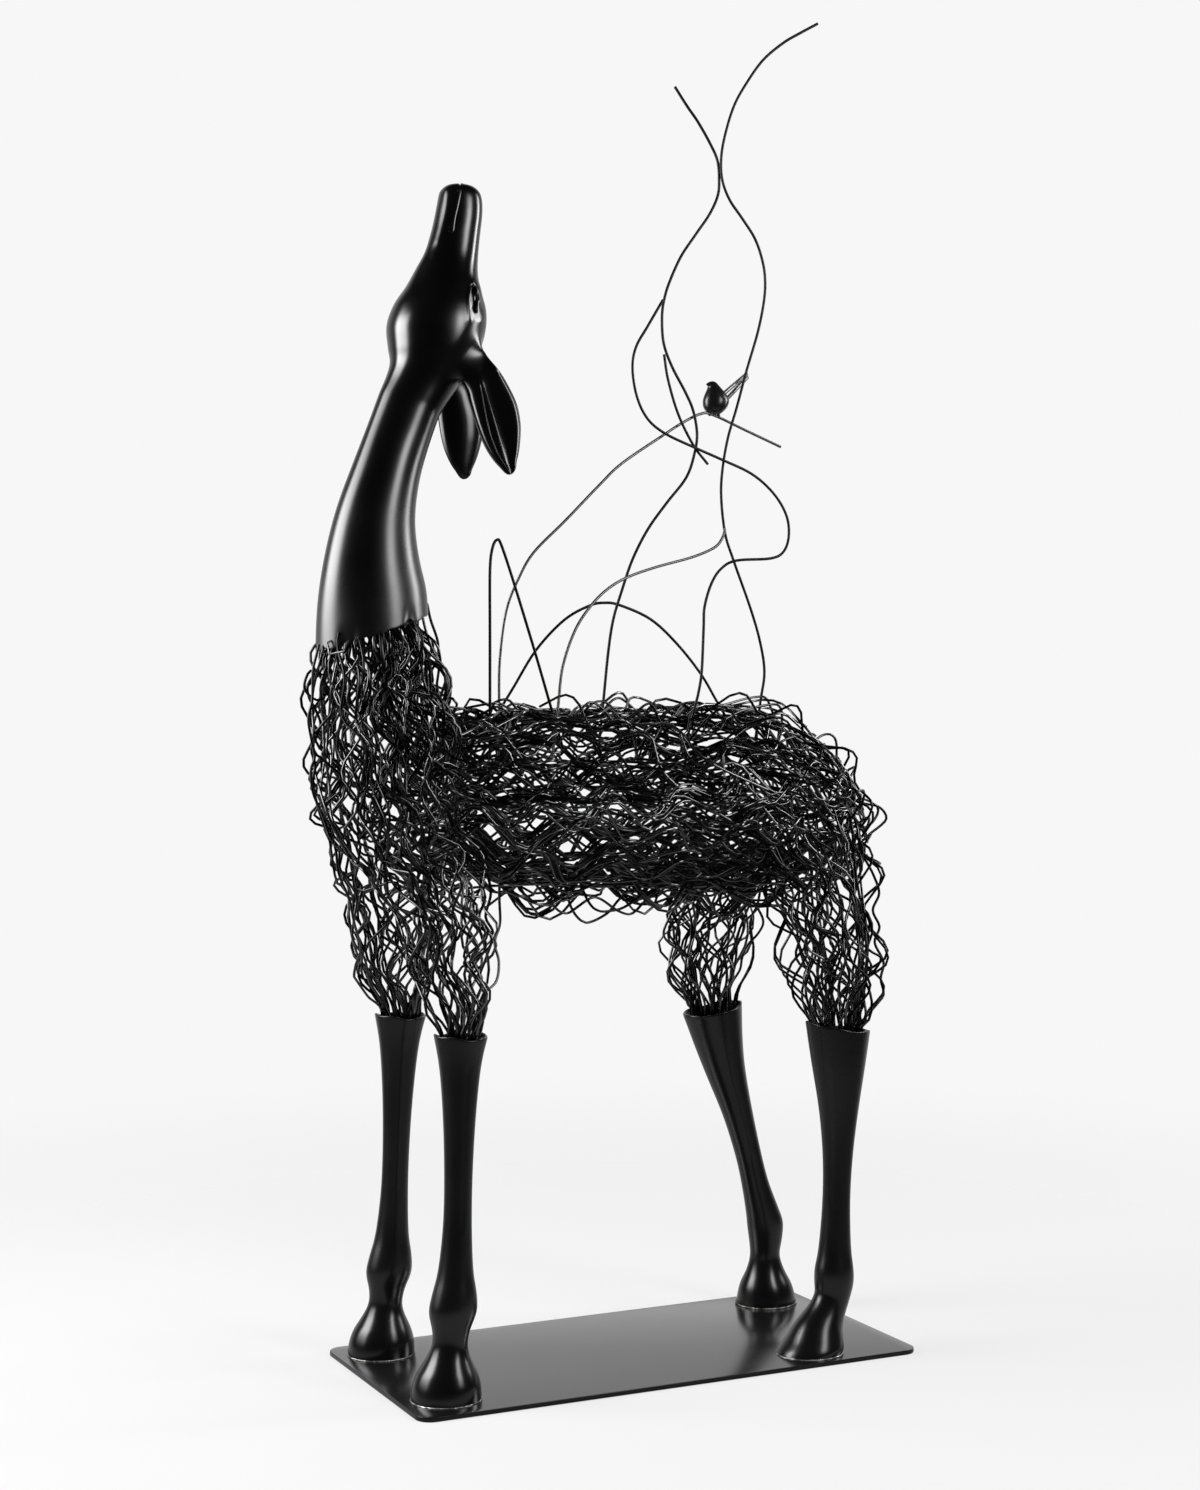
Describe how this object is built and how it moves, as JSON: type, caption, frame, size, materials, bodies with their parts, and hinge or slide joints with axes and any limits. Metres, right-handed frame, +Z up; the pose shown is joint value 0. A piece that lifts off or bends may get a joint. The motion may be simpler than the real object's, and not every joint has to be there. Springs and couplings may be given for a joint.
{
  "type": "deer sculpture",
  "caption": "Standing deer with its muzzle raised: smooth black castings, a body of crimped wire on a steel plate, bent wires and a small bird rising from the back.",
  "frame": {"origin": "centre of the base plate's underside, on the floor", "axes": "+Z up; the deer faces -X with its left flank towards -Y; the plate's long side runs along X and its short side along Y"},
  "size_m": [0.7817, 0.34, 1.7513],
  "materials": {
    "casting_black": "satin black paint on smooth castings",
    "wire_black": "satin black paint on steel wire",
    "base_plate_black": "satin black powder coat on flat sheet",
    "weld_metal": "thin weld bead round each hoof, half bare"
  },
  "bodies": {
    "root": {"base_plate": "base_plate_black", "leg_casting_near_fore": "casting_black", "leg_casting_far_fore": "casting_black", "leg_casting_near_hind": "casting_black", "leg_casting_far_hind": "casting_black", "head_and_neck": "casting_black", "wire_body": "wire_black", "tall_wire_hairpin": "wire_black", "tall_wire_perch": "wire_black", "tall_wire_arch": "wire_black", "tall_wire_branch": "wire_black", "tall_wire_left": "wire_black", "tall_wire_right": "wire_black", "tall_wire_s_curve": "wire_black", "tall_wire_twig": "wire_black", "bird": "casting_black"}
  },
  "joints": []
}
